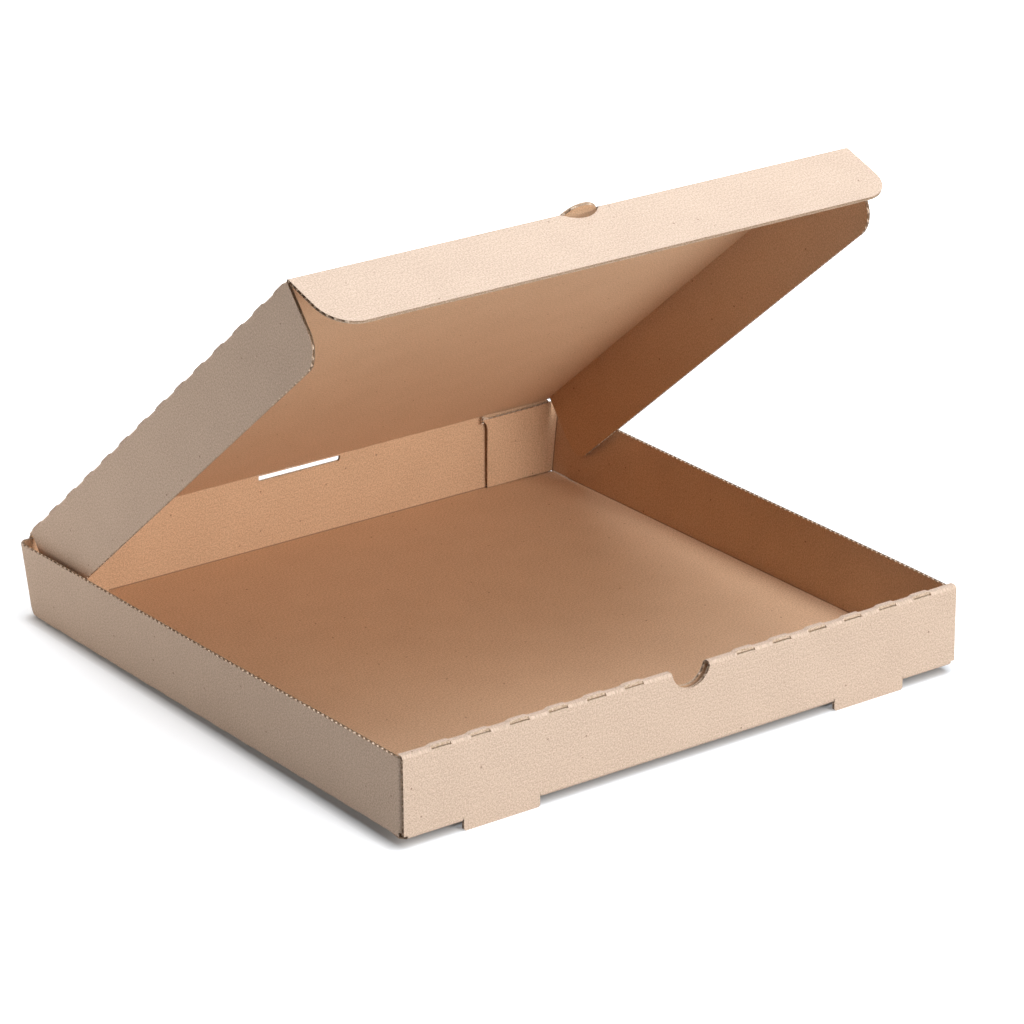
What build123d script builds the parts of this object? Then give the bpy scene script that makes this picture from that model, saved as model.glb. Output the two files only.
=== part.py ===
from build123d import *
import os
from math import atan, cos, sin, sqrt

# A pizza box folded from one sheet of thin corrugated card, standing open.
# +X is to the right, +Y to the back and +Z up. The origin lies on the table, under the
# middle of the tray. The tray stands on two front feet and on its back lower fold.

# Board
board = 1.6  # thickness of the card
crease_radius = 0.6  # inside radius of a fold that stays folded
layer_gap = 0.3  # air between layers that lie against each other
swing_gap = 0.3  # clearance at a fold that moves

# Tray
box_width = 330.0
box_depth = 330.0
side_height = 40.0
front_rise = 2.0  # how far the front wall stands above the side walls
wall_lean = 4.3  # how far a side wall leans out at its top back corner
front_corner_flap = 60.0  # length of the side wall's flap inside the front wall
rear_corner_flap = 45.5  # length of the side wall's flap in front of the rear wall
rear_flap_notch = 6.0  # round cut below the upper end of that flap
rear_wall_corner = 6.0
rear_relief = 6.0  # rounded lower back corner of a side wall
thumb_radius = 11.5  # half-moon notch in the front wall
thumb_depth = 10.3

# Feet, cut from the floor and left standing below the front wall
foot_width = 44.0
foot_inset = 33.0
foot_drop = 4.5
foot_corner = 1.0
foot_slit = 0.4  # open cut on each side of a foot
lock_tab_inset = 3.0  # how much narrower a lock tab is than its foot, on each side

# Cut folds, pierced by a row of slits
slit_length = 11.0
slit_pitch = 22.0
slit_width = 0.5
slit_margin = 15.0  # least length of fold beyond the last slit

# Slot below the hinge of the lid
hinge_slot_width = 51.0
hinge_slot_height = 3.0

# Lid
lid_open_angle = 39.5  # from shut
lid_front_gap = 8.8  # between the front fold of the shut lid and the front wall
lid_side_gap = 0.5  # between a lid flap and the tray wall beside it
lid_rest_gap = 0.3  # between the shut lid and the front wall
flap_floor_gap = 2.3  # between a flap of the shut lid and the tray's floor
front_flap_angle = 58.0  # folded down from the plane of the lid
front_flap_corner = 17.0
side_flap_front_corner = 14.0
side_flap_rear_corner = 9.0
flap_corner_gap = 0.4  # between a side flap and the square front flap
tab_radius = 12.8  # half-moon tab at the front fold, cut out of the front flap
tab_depth = 5.2

# Sizes that follow from the ones above
half_board = board / 2
fold_radius = board + crease_radius
right_angle = 90.0
half_width = box_width / 2
wall_base = fold_radius + half_board
front_height = side_height + front_rise
front_thickness = 3 * board + 2 * layer_gap
rear_half = half_width - fold_radius
hinge_y = box_depth - half_board
hinge_z = front_height + lid_rest_gap + half_board
lid_length = hinge_y - front_thickness - lid_front_gap
lid_half = half_width - board - lid_side_gap
flap_height = front_height + lid_rest_gap - flap_floor_gap
swing_start = half_board + swing_gap
thumb_rise = thumb_radius - thumb_depth
tab_rise = tab_radius - tab_depth
flap_rear = box_depth - board - layer_gap
side_flap_back = hinge_y - flap_rear + board + flap_corner_gap

seat_tilt = atan(foot_drop / box_depth)
seat = Plane(
    origin=(0, -box_depth / 2, box_depth * sin(seat_tilt)),
    x_dir=(1, 0, 0),
    z_dir=(0, sin(seat_tilt), cos(seat_tilt)),
).location
lid_frame = seat * Location((0, hinge_y, hinge_z), (-lid_open_angle, 0, 0))

os.makedirs("parts", exist_ok=True)


def placed(frame, plane):
    """A plane of a panel's own frame, as a plane of the whole box."""
    return Plane(frame * plane.location)


def fold_middle(corner, inward):
    """Place of the middle of a fold along one axis, from its outside corner."""
    return corner + inward * (fold_radius - (fold_radius - half_board) / sqrt(2))


def row_of_slits(length):
    """Middles of the slits along a fold of this length, counted from its middle."""
    count = int((length - 2 * slit_margin - slit_length) / slit_pitch) + 1
    first = -slit_pitch * (count - 1) / 2
    return [first + slit_pitch * index for index in range(count)]


# The tray: floor, side walls, doubled front wall and rear wall, all one sheet
with BuildPart() as tray:
    # Floor and the lower folds of the two side walls
    with BuildSketch(placed(seat, Plane.XZ.offset(-fold_radius))):
        with BuildLine():
            FilletPolyline(
                (-half_width, wall_base),
                (-half_width, 0),
                (half_width, 0),
                (half_width, wall_base),
                radius=fold_radius,
            )
            offset(amount=board, side=Side.LEFT)
        make_face()
    extrude(amount=fold_radius - box_depth)

    # Room in the floor for the fold of the rear wall
    with Locations(seat * Location((0, box_depth, 0))):
        Box(2 * rear_half, 2 * fold_radius, 2 * fold_radius, mode=Mode.SUBTRACT)

    # Rear wall, with a round upper edge on the hinge axis
    with BuildSketch(placed(seat, Plane.YZ)):
        with BuildLine():
            FilletPolyline(
                (box_depth - wall_base, 0),
                (box_depth, 0),
                (box_depth, hinge_z),
                radius=fold_radius,
            )
            offset(amount=board, side=Side.LEFT)
        make_face()
        with Locations((hinge_y, hinge_z)):
            Circle(half_board)
    extrude(amount=rear_half, both=True)

    # Rounded upper corners of the rear wall
    with BuildSketch(placed(seat, Plane.XZ.offset(board - box_depth))):
        for side in (-1, 1):
            corner_x = side * (rear_half - rear_wall_corner / 2)
            with Locations((corner_x, hinge_z + half_board - rear_wall_corner / 2)):
                Rectangle(rear_wall_corner, rear_wall_corner)
            round_x = side * (rear_half - rear_wall_corner)
            with Locations((round_x, hinge_z + half_board - rear_wall_corner)):
                Circle(rear_wall_corner, mode=Mode.SUBTRACT)
    extrude(amount=board, both=True, mode=Mode.SUBTRACT)

    # Slot through the rear wall, just below the hinge
    with BuildSketch(placed(seat, Plane.XZ.offset(half_board - box_depth))):
        with Locations((0, hinge_z - half_board - hinge_slot_height / 2)):
            SlotOverall(hinge_slot_width, hinge_slot_height)
    extrude(amount=board, both=True, mode=Mode.SUBTRACT)

    # Front wall: outer panel, roll over the top and inner panel down to the floor
    with BuildSketch(placed(seat, Plane.YZ)):
        with BuildLine():
            outside = FilletPolyline(
                (wall_base, 0),
                (0, 0),
                (0, front_height),
                (front_thickness, front_height),
                (front_thickness, board + layer_gap),
                radius=fold_radius,
            )
            inside = FilletPolyline(
                (wall_base, board),
                (board, board),
                (board, front_height - board),
                (front_thickness - board, front_height - board),
                (front_thickness - board, board + layer_gap),
                radius=crease_radius,
            )
            Line(outside @ 0, inside @ 0)
            Line(outside @ 1, inside @ 1)
        make_face()
    extrude(amount=half_width, both=True)

    # Ends of the inner panel, cut back to fit between the side walls
    end_bottom = wall_base
    end_top = side_height + layer_gap
    for side in (-1, 1):
        end_place = (side * half_width, front_thickness, (end_bottom + end_top) / 2)
        end_size = 2 * (board + lid_side_gap)
        with Locations(seat * Location(end_place)):
            Box(end_size, 2 * (front_thickness - board), end_top - end_bottom, mode=Mode.SUBTRACT)

    # Side walls, each with a flap in the front wall and a flap in front of the rear wall
    flap_front = board + layer_gap
    flap_reach = rear_corner_flap + rear_flap_notch + wall_lean
    for side in (-1, 1):
        for height, lean in ((wall_base, 0), (side_height, wall_lean)):
            front_x = side * half_width
            rear_x = side * (half_width + lean)
            with BuildSketch(placed(seat, Plane.XY.offset(height))):
                with BuildLine():
                    FilletPolyline(
                        (front_x - side * front_corner_flap, flap_front),
                        (front_x, flap_front),
                        (rear_x, flap_rear),
                        (rear_x - side * flap_reach, flap_rear),
                        radius=fold_radius,
                    )
                    offset(amount=board, side=Side.LEFT if side > 0 else Side.RIGHT)
                make_face()
        loft(ruled=True)

    # Ends of the rear flaps, with a round cut that leaves a tongue along the top
    flap_end = half_width - rear_corner_flap
    flap_low = board + layer_gap
    notch_x = flap_end - rear_flap_notch
    notch_z = side_height + layer_gap - rear_flap_notch
    with BuildSketch(placed(seat, Plane.XZ.offset(half_board - flap_rear))):
        for side in (-1, 1):
            with Locations((side * notch_x, (flap_low + notch_z) / 2)):
                Rectangle(2 * rear_flap_notch, notch_z - flap_low)
            with Locations((side * notch_x, notch_z)):
                Circle(rear_flap_notch)
    extrude(amount=half_board + layer_gap / 2, both=True, mode=Mode.SUBTRACT)

    # Lower edges of the rear flaps, down to the floor
    for side in (-1, 1):
        edge_place = (side * (flap_end + rear_half) / 2, flap_rear - half_board, (flap_low + wall_base) / 2)
        with Locations(seat * Location(edge_place)):
            Box(rear_half - flap_end, board, wall_base - flap_low)

    # Rounded lower back corners of the side walls
    relief_width = fold_radius + wall_lean
    relief_length = box_depth - flap_rear + rear_relief
    for side in (-1, 1):
        with BuildSketch(placed(seat, Plane.YZ.offset(side * rear_half))):
            with Locations((box_depth - relief_length / 2, rear_relief / 2)):
                Rectangle(relief_length, rear_relief)
            with Locations((flap_rear - rear_relief, rear_relief)):
                Circle(rear_relief, mode=Mode.SUBTRACT)
        extrude(amount=side * relief_width, mode=Mode.SUBTRACT)

    # Half-moon thumb notch through the front wall
    notch_place = (0, front_thickness / 2, front_height + thumb_rise)
    with Locations(seat * Location(notch_place, (right_angle, 0, 0))):
        Cylinder(thumb_radius, 2 * front_thickness, mode=Mode.SUBTRACT)

    # Feet in the plane of the front wall, their holes in the floor, and the lock tabs in these
    hole_depth = front_thickness + layer_gap
    for side in (-1, 1):
        foot_x = side * (half_width - foot_inset - foot_width / 2)
        with Locations(seat * Location((foot_x, 0, 0))):
            Box(foot_width, 2 * hole_depth, 2 * fold_radius, mode=Mode.SUBTRACT)
        foot_top = wall_base
        with BuildSketch(placed(seat, Plane.XZ)):
            with Locations((foot_x, (foot_top - foot_drop) / 2)):
                foot = Rectangle(foot_width - 2 * foot_slit, foot_top + foot_drop)
            fillet(foot.vertices().group_by(Axis.Y)[0], foot_corner)
        extrude(amount=-board)
        tab_top = wall_base
        tab_bottom = layer_gap
        tab_place = (foot_x, front_thickness - half_board, (tab_top + tab_bottom) / 2)
        with Locations(seat * Location(tab_place)):
            Box(foot_width - 2 * lock_tab_inset, board, tab_top - tab_bottom)

    # Slits along the two folds on top of the front wall
    slit_reach = fold_radius
    slit_turn = right_angle / 2
    front_fold = half_width - thumb_radius
    front_folds = (
        (fold_middle(0, 1), slit_turn),
        (fold_middle(front_thickness, -1), -slit_turn),
    )
    for side in (-1, 1):
        for middle in row_of_slits(front_fold):
            slit_x = side * (thumb_radius + front_fold / 2 + middle)
            for slit_y, turn in front_folds:
                slit_place = (slit_x, slit_y, fold_middle(front_height, -1))
                with Locations(seat * Location(slit_place, (turn, 0, 0))):
                    Box(slit_length, slit_width, slit_reach, mode=Mode.SUBTRACT)

    # Slits along the lower folds of the side walls
    for side in (-1, 1):
        for middle in row_of_slits(box_depth):
            slit_x = fold_middle(side * half_width, -side)
            slit_place = (slit_x, box_depth / 2 + middle, fold_middle(0, 1))
            with Locations(seat * Location(slit_place, (0, -side * slit_turn, 0))):
                Box(slit_reach, slit_length, slit_width, mode=Mode.SUBTRACT)

# The lid's top panel, with round edges on its fold axes and a half-moon thumb tab
front_fold_y = -(lid_length - half_board)
side_fold_x = lid_half - board
with BuildPart() as lid:
    with BuildSketch(placed(lid_frame, Plane.XZ.offset(swing_start))):
        Rectangle(2 * side_fold_x, board)
        for side in (-1, 1):
            with BuildLine():
                Line((side * side_fold_x, -half_board), (side * lid_half, -half_board))
                RadiusArc(
                    (side * lid_half, -half_board),
                    (side * side_fold_x, half_board),
                    -side * board,
                )
                Line((side * side_fold_x, half_board), (side * side_fold_x, -half_board))
            make_face()
    extrude(amount=-front_fold_y - swing_start)
    with BuildSketch(placed(lid_frame, Plane.YZ)):
        with Locations((front_fold_y, 0)):
            Circle(half_board)
    extrude(amount=lid_half, both=True)
    with BuildSketch(placed(lid_frame, Plane.XY.offset(-half_board))):
        with Locations((0, front_fold_y + tab_rise)):
            Circle(tab_radius)
    extrude(amount=board)

# The lid's front flap, with a hole where the thumb tab was cut out
front_flap_frame = lid_frame * Location((0, front_fold_y, 0), (front_flap_angle, 0, 0))
front_flap_reach = flap_height - half_board
with BuildPart() as lid_front_flap:
    with BuildSketch(placed(front_flap_frame, Plane.XY.offset(-half_board))):
        with Locations((0, -(swing_start + front_flap_reach) / 2)):
            panel = Rectangle(2 * lid_half, front_flap_reach - swing_start)
        fillet(panel.vertices().group_by(Axis.Y)[0], front_flap_corner)
        with Locations((0, tab_rise)):
            Circle(tab_radius + swing_gap, mode=Mode.SUBTRACT)
    extrude(amount=board)

# The lid's side flaps, which hang inside the tray walls
side_flaps = {}
side_flap_front = lid_length - board - flap_corner_gap
side_flap_drop = flap_height - board
for side, name in ((-1, "lid_left_flap"), (1, "lid_right_flap")):
    fold = Location((side * side_fold_x, 0, -half_board))
    with BuildPart() as side_flap:
        with BuildSketch(placed(lid_frame * fold, Plane.YZ)):
            with Locations((-(side_flap_front + side_flap_back) / 2, -(side_flap_drop + swing_gap) / 2)):
                panel = Rectangle(side_flap_front - side_flap_back, side_flap_drop - swing_gap)
            lower = panel.vertices().group_by(Axis.Y)
            front_lower = lower[0].sort_by(Axis.X)[0]
            rear_lower = lower[0].sort_by(Axis.X)[-1]
            fillet(front_lower, side_flap_front_corner)
            fillet(rear_lower, side_flap_rear_corner)
        extrude(amount=side * board)
    side_flaps[name] = side_flap.part

pieces = {
    "tray": tray.part,
    "lid": lid.part,
    "lid_front_flap": lid_front_flap.part,
    **side_flaps,
}
for name, piece in pieces.items():
    piece.label = name
    export_step(piece, f"parts/{name}.step")
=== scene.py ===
"""A pizza box folded from one sheet of corrugated card, dressed around its CAD frame."""

import logging
import math
from dataclasses import dataclass, field
from enum import Enum
from typing import Callable, Iterable, Sequence

import bmesh
import bpy
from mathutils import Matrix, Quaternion, Vector


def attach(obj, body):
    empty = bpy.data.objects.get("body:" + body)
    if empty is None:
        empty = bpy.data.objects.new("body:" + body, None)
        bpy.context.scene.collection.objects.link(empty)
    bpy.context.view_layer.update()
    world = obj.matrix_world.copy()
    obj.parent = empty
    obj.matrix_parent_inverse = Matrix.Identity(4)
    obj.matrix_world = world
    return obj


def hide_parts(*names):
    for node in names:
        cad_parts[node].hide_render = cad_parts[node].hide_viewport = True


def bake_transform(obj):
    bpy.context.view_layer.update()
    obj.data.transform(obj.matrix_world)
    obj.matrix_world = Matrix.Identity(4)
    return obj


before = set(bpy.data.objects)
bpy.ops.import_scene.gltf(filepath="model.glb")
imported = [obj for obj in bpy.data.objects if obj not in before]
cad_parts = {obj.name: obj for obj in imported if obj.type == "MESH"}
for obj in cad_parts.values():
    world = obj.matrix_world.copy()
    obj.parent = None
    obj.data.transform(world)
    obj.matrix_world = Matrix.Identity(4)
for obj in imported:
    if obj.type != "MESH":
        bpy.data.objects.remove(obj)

log = logging.getLogger("pizza_box")

# Lengths are in millimetres on the flat sheet and in metres in the scene
MM = 0.001
SQUARE = math.pi / 2
ON_LINE = 0.02
PAST_EDGE = 0.2
FADE = 28.0
BEND_STEPS = 6

Point2 = tuple[float, float]
Point3 = tuple[float, float, float]
Colour = tuple[float, float, float, float]
FlatMap = Callable[[float, float, float], Vector]
Test = Callable[[Vector], bool]
EdgeRun = list[tuple[Vector, Vector]]
Piece = bpy.types.Object
Material = bpy.types.Material
Socket = bpy.types.NodeSocket
Vert = bmesh.types.BMVert


class Side(Enum):
    """The two mirrored sides of the box, seen from the front."""

    LEFT = -1
    RIGHT = 1


class Paper(Enum):
    """Which paper a face of the card shows, as a material slot."""

    OUTSIDE = 0
    INSIDE = 1
    CUT = 2


def clamp(value: float) -> float:
    """A value kept between 0 and 1."""
    return min(1.0, max(0.0, value))


def smooth(value: float) -> float:
    """A share from 0 to 1 that starts and ends level."""
    share = clamp(value)
    return share * share * (3 - 2 * share)


def wave(place: float, depth: float = 1.0, length: float = 1.0, shift: float = 0.0) -> float:
    """A gentle wave of the card, by its depth, its length and where it starts."""
    return depth * math.sin(place / length + shift)


def ripple(u: float, v: float) -> float:
    """Gentle unevenness of a panel."""
    squares = wave(u, depth=0.20, length=41, shift=1.3) * wave(v, length=53, shift=0.4)
    return squares + wave(u / 67 - v / 29, depth=0.12)


def fade(*distances: float) -> float:
    """A share that is 0 on the nearest edge and 1 well inside a panel."""
    return smooth(min(distances) / FADE)


def everywhere(place: Vector) -> bool:
    """Takes in every place."""
    return True


def only(kind: type, items: Iterable[object]) -> list:
    """The items of one kind, from the result of a mesh operator."""
    return [item for item in items if isinstance(item, kind)]


def grid(low: float, high: float, step: float) -> list[float]:
    """Evenly spaced places strictly between two ends, about a step apart."""
    count = max(1, round((high - low) / step))
    return [low + (high - low) * index / count for index in range(1, count)]


def bend_lines(start: float, length: float, direction: int) -> list[float]:
    """Places of the score lines through a fold, from its start in one direction."""
    return [start + direction * length * index / BEND_STEPS for index in range(BEND_STEPS + 1)]


def bend_length(gap: float, turn: float) -> float:
    """Length of card in a fold of so many degrees that starts a gap before its axis."""
    return gap / math.tan(math.radians(turn / 2)) * math.radians(turn)


def dash_share(place: float, middles: Sequence[float], length: float, ramp: float = 1.6) -> float:
    """How far a place lies within the dashes of a cut fold, from 0 to 1."""
    reach = length / 2 + ramp / 2
    return max((smooth((reach - abs(place - middle)) / ramp) for middle in middles), default=0.0)


def dash_ends(middles: Sequence[float], length: float, shifts: Sequence[float]) -> list[float]:
    """Places of the score lines about both ends of each dash, in order."""
    reaches = [end * (length / 2 + shift) for end in (-1, 1) for shift in shifts]
    return sorted(middle + reach for middle in middles for reach in reaches)


def rectangle(left: float, low: float, right: float, high: float) -> list[Point2]:
    """The four corners of a rectangle."""
    return [(left, low), (right, low), (right, high), (left, high)]


def slit(middle: float, across: float, length: float, width: float, turned: bool) -> list[Point2]:
    """The four corners of a slit, lying along the first axis unless it is turned.

    Args:
        middle: The slit's middle, along it.
        across: Where the slit lies, across it.
        length: Its length.
        width: Its width.
        turned: Whether it lies along the second axis.

    Returns:
        The points in order.
    """
    a, b = length / 2, width / 2
    if turned:
        return rectangle(across - b, middle - a, across + b, middle + a)
    return rectangle(middle - a, across - b, middle + a, across + b)


def mirrored(right: list[Point2]) -> list[Point2]:
    """A whole outline from its right half."""
    return right + [(-u, v) for u, v in reversed(right)]


def arc_points(
    centre: Point2, radius: float, first: float, last: float, steps: int
) -> list[Point2]:
    """Points of an arc from one angle to another, in chords of equal length."""
    turns = [first + (last - first) * step / steps for step in range(steps + 1)]
    return [(centre[0] + radius * math.cos(t), centre[1] + radius * math.sin(t)) for t in turns]


def round_corner(
    corner: Point2, start: Point2, end: Point2, radius: float, steps: int
) -> list[Point2]:
    """Points of a rounded square corner of a panel.

    Args:
        corner: The sharp corner.
        start: A point on the edge that comes to the corner.
        end: A point on the edge that leaves the corner.
        radius: Radius of the round.
        steps: Number of chords.

    Returns:
        The points from the first edge to the second.
    """
    at = Vector(corner)
    before = (Vector(start) - at).normalized()
    after = (Vector(end) - at).normalized()
    centre = at + (before + after) * radius
    points = []
    for across, along in arc_points((0.0, 0.0), radius, 0.0, SQUARE, steps):
        spot = centre - after * across - before * along
        points.append((spot.x, spot.y))
    return points


def stand(name: str, data: bpy.types.ID) -> Piece:
    """Puts a mesh, lamp or camera into the scene as an object.

    Args:
        name: Name of the object.
        data: The mesh, lamp or camera.

    Returns:
        The object.
    """
    thing = bpy.data.objects.new(name, data)
    bpy.context.scene.collection.objects.link(thing)
    return thing


@dataclass(frozen=True)
class Board:
    """The card itself: two liners on a fluted medium."""

    thickness: float = 1.6
    crease: float = 0.6
    liner: float = 0.28
    groove: float = 2.2
    flute_pitch: float = 3.6
    medium: float = 0.94
    crush: float = 1.5
    bite: float = 1.3
    edge_gap: float = 0.03
    end_slant: float = 0.5
    flute_step: float = 0.4

    @property
    def half(self) -> float:
        """Half of the card's thickness."""
        return self.thickness / 2

    @property
    def fold(self) -> float:
        """Outside radius of a set fold."""
        return self.thickness + self.crease

    @property
    def middle(self) -> float:
        """Radius of the card's middle plane in a set fold."""
        return self.crease + self.half

    @property
    def arc(self) -> float:
        """Length of the middle plane round a square fold."""
        return self.middle * SQUARE

    def swing(self, across: float) -> float:
        """The flutes' wave at a place across them, from -1 to 1."""
        return math.sin(2 * math.pi * across / self.flute_pitch)

    def flute(self, across: float) -> float:
        """Height of the medium above the middle plane at a place across the flutes."""
        return (self.half - self.liner - self.medium / 2) * self.swing(across)


@dataclass(frozen=True)
class Run:
    """One stretch of a folded path, straight unless it turns towards the inside."""

    length: float
    turn: float = 0.0


@dataclass(frozen=True)
class FoldPath:
    """The card's middle plane seen along its folds, as straight runs and arcs."""

    start: Point2
    heading: float
    runs: tuple[Run, ...]

    @staticmethod
    def axes(angle: float) -> tuple[Vector, Vector]:
        """The directions along the card and towards its inside, at a heading."""
        ahead = Vector((math.cos(angle), math.sin(angle)))
        return ahead, Vector((-ahead.y, ahead.x))

    def place(self, along: float, lift: float, sharp: float = 0.0) -> Point2:
        """Place of a point of the card.

        Args:
            along: Distance along the middle plane from the path's start.
            lift: Height above the middle plane, towards the inside of the box.
            sharp: How far a fold is straightened to a cut corner, from 0 to 1.

        Returns:
            The two coordinates in the plane of the path.
        """
        at, angle, left = Vector(self.start), math.radians(self.heading), along
        for run in self.runs:
            here = left <= run.length or run is self.runs[-1]
            turn = math.radians(run.turn)
            ahead, inward = self.axes(angle)
            spot = at + ahead * left + inward * lift
            if here and (turn == 0.0 or left < 0):
                break
            if turn == 0.0:
                at = at + ahead * run.length
            else:
                radius = run.length / turn
                centre = at + inward * radius
                end_ahead, end_inward = self.axes(angle + turn)
                at = centre - end_inward * radius
                if here:
                    corner = spot
                    if left >= run.length / 2:
                        corner = at - end_ahead * (run.length - left) + end_inward * lift
                    bent = self.axes(angle + turn * left / run.length)[1]
                    spot = (centre - bent * (radius - lift)).lerp(corner, sharp)
                    break
                angle += turn
            left -= run.length
        return spot.x, spot.y


class CardMesh:
    """A flat piece of card that is cut, given its layers and then folded."""

    merge = 0.0005
    liner_level = 0.9
    sharp_edge = 30.0

    def __init__(self, board: Board) -> None:
        """Starts an empty sheet.

        Args:
            board: The card that it is cut from.
        """
        self.board = board
        self.sheet = bmesh.new()
        self.corners: dict[tuple[int, int], Vert] = {}

    def corner(self, point: Point2) -> Vert:
        """The vertex at a place of the flat sheet, made once.

        Args:
            point: The place.

        Returns:
            The vertex.
        """
        key = (round(point[0] / MM), round(point[1] / MM))
        if key not in self.corners:
            self.corners[key] = self.sheet.verts.new((point[0], point[1], 0.0))
        return self.corners[key]

    def panel(self, outline: Sequence[Point2], holes: Sequence[Sequence[Point2]] = ()) -> None:
        """Fills one panel of the flat sheet.

        Args:
            outline: The panel's corners in order.
            holes: The corners of each hole in it.
        """
        sheet = self.sheet
        edges = []
        for loop in (outline, *holes):
            verts = [self.corner(point) for point in loop]
            for pair in zip(verts, verts[1:] + verts[:1]):
                if pair[0] is not pair[1]:
                    edges.append(sheet.edges.get(pair) or sheet.edges.new(pair))
        filled = bmesh.ops.triangle_fill(sheet, use_beauty=True, edges=edges, normal=(0, 0, 1))
        faces = only(bmesh.types.BMFace, filled["geom"])
        for face in faces:
            face.normal_update()
        bmesh.ops.reverse_faces(sheet, faces=[face for face in faces if face.normal.z < 0])

    def score(self, axis: int, places: Sequence[float], where: Test = everywhere) -> None:
        """Divides faces along straight lines, so that they can bend there.

        Args:
            axis: 0 for lines at a constant first coordinate, 1 for the second.
            places: The coordinate of each line.
            where: Tells which faces are divided, by the middle of the face.
        """
        along = Vector((1, 0, 0)) if axis == 0 else Vector((0, 1, 0))
        for place in places:
            near = []
            for face in self.sheet.faces:
                spread = [vert.co[axis] for vert in face.verts]
                if min(spread) < place < max(spread) and where(face.calc_center_median()):
                    near.append(face)
            edges = {edge for face in near for edge in face.edges}
            verts = {vert for face in near for vert in face.verts}
            bmesh.ops.bisect_plane(
                self.sheet,
                geom=[*near, *edges, *verts],
                dist=self.merge,
                plane_co=along * place,
                plane_no=along,
            )

    def raw_loops(self, joined: Test) -> list[EdgeRun]:
        """The cut edges of the flat sheet.

        Args:
            joined: Tells, by the middle of an edge, where the card goes on in another piece.

        Returns:
            For each stretch of cut edge its points, each with the direction into the card.
        """
        after: dict[Vert, tuple[Vert, Vector]] = {}
        for edge in self.sheet.edges:
            if not edge.is_boundary:
                continue
            loop = edge.link_loops[0]
            first, second = loop.vert, loop.link_loop_next.vert
            if joined((first.co + second.co) / 2):
                continue
            ahead = (second.co - first.co).normalized()
            after[first] = (second, Vector((-ahead.y, ahead.x, 0.0)))
        ends = {second for second, _ in after.values()}
        starts = [vert for vert in after if vert not in ends]
        loops = []
        while after:
            vert = starts.pop() if starts else next(iter(after))
            stretch = []
            inward = Vector()
            while vert in after:
                following, inward = after.pop(vert)
                stretch.append((vert.co.copy(), inward))
                vert = following
            stretch.append((vert.co.copy(), inward))
            loops.append(stretch)
        return loops

    def layer(self, joined: Test) -> None:
        """Gives the flat sheet its thickness, its liners' lips and its flutes.

        Args:
            joined: Tells where an edge isn't cut, because the card goes on in another piece.
        """
        board, sheet = self.board, self.sheet
        loops = self.raw_loops(joined)
        bmesh.ops.translate(sheet, verts=sheet.verts, vec=(0, 0, -board.half))
        grown = bmesh.ops.extrude_face_region(sheet, geom=list(sheet.faces), use_keep_orig=True)
        upper = only(Vert, grown["geom"])
        bmesh.ops.translate(sheet, verts=upper, vec=(0, 0, board.thickness))
        bmesh.ops.recalc_face_normals(sheet, faces=sheet.faces)
        rim = []
        for face in sheet.faces:
            middle = face.calc_center_median()
            paper = Paper.INSIDE if middle.z > 0 else Paper.OUTSIDE
            if abs(middle.z) <= board.half * self.liner_level:
                paper = Paper.CUT
                if not joined(middle):
                    rim.append(face)
            face.material_index = paper.value
        bmesh.ops.inset_region(
            sheet, faces=rim, use_even_offset=True, thickness=board.liner, depth=-board.groove
        )
        for loop in loops:
            self.medium(loop)

    def medium(self, loop: EdgeRun) -> None:
        """Lays the fluted medium along one cut edge.

        Args:
            loop: Points of the edge in order, each with the direction into the card.
        """
        board, sheet = self.board, self.sheet
        spine: EdgeRun = []
        for (start, inward), (end, _) in zip(loop, loop[1:]):
            count = max(1, math.ceil(abs(end.y - start.y) / board.flute_step))
            spine += [(start.lerp(end, step / count), inward) for step in range(count)]
        spine.append(loop[-1])
        inward_of = {}
        for spot, inward in spine:
            bitten = clamp(1.0 + board.bite * board.swing(spot.y))
            deep = max(bitten, 1 - smooth(abs(inward.x) / board.end_slant))
            place = spot + inward * (board.edge_gap + board.crush * deep)
            low = board.flute(spot.y) - board.medium / 2
            inward_of[sheet.verts.new((place.x, place.y, low))] = inward
        verts = list(inward_of)
        edges = [sheet.edges.new(pair) for pair in zip(verts, verts[1:])]
        grown = bmesh.ops.extrude_edge_only(sheet, edges=edges)["geom"]
        inner = only(Vert, grown)
        for vert in inner:
            others = [edge.other_vert(vert) for edge in vert.link_edges]
            root = next(other for other in others if other in inward_of)
            vert.co += inward_of[root] * (board.groove - board.crush)
        faces = only(bmesh.types.BMFace, grown)
        raised = bmesh.ops.extrude_face_region(sheet, geom=faces, use_keep_orig=True)["geom"]
        upper = only(Vert, raised)
        bmesh.ops.translate(sheet, verts=upper, vec=(0, 0, board.medium))
        made = {face for vert in (*verts, *inner, *upper) for face in vert.link_faces}
        bmesh.ops.recalc_face_normals(sheet, faces=list(made))
        for face in made:
            face.material_index = Paper.CUT.value

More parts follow.
